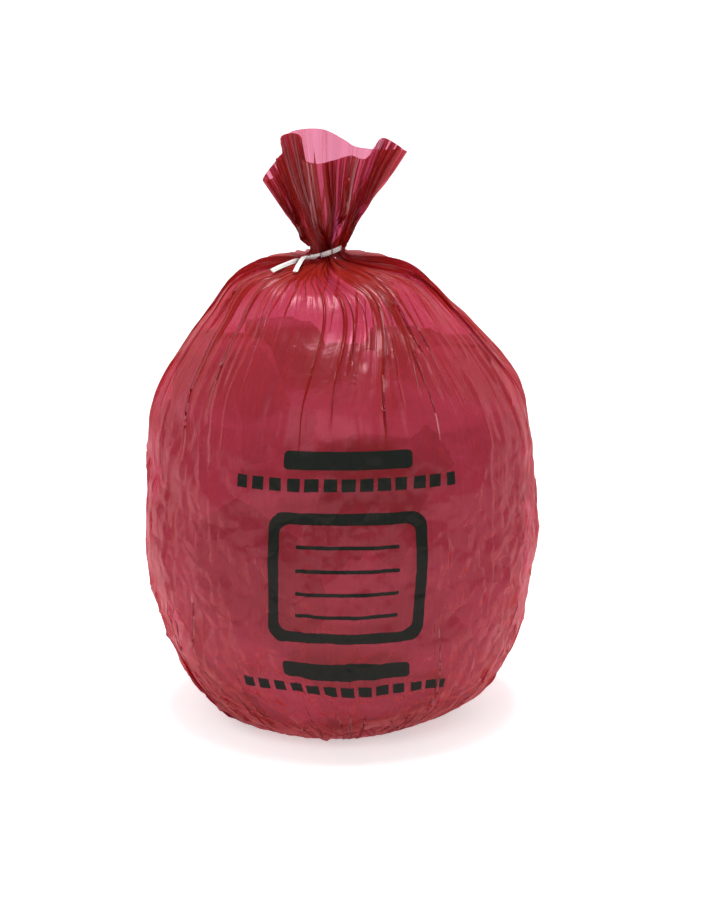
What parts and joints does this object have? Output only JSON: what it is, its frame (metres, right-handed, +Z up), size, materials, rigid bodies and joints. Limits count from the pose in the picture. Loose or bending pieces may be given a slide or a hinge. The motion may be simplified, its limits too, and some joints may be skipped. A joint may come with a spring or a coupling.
{
  "type": "filled clinical waste bag",
  "caption": "Filled bag of thin translucent film with soft waste inside, gathered into a neck, closed by a twist tie, its open mouth flaring above.",
  "frame": {"origin": "on the floor, under the middle of the bag's widest section", "axes": "+Z up through the gathered neck, -Y towards the front of the bag, +X to the right as seen from the front"},
  "size_m": [0.3884, 0.3884, 0.5785],
  "materials": {
    "film": "thin translucent crimson film, glossy, darker where folds lie on each other",
    "soft_waste": "crumpled off-white paper and non-woven cloth, matt",
    "tie": "off-white coated paper strip with a fine wire down its middle"
  },
  "bodies": {
    "root": {"film_bag": "film", "soft_waste": "soft_waste", "twist_tie": "tie"}
  },
  "joints": []
}
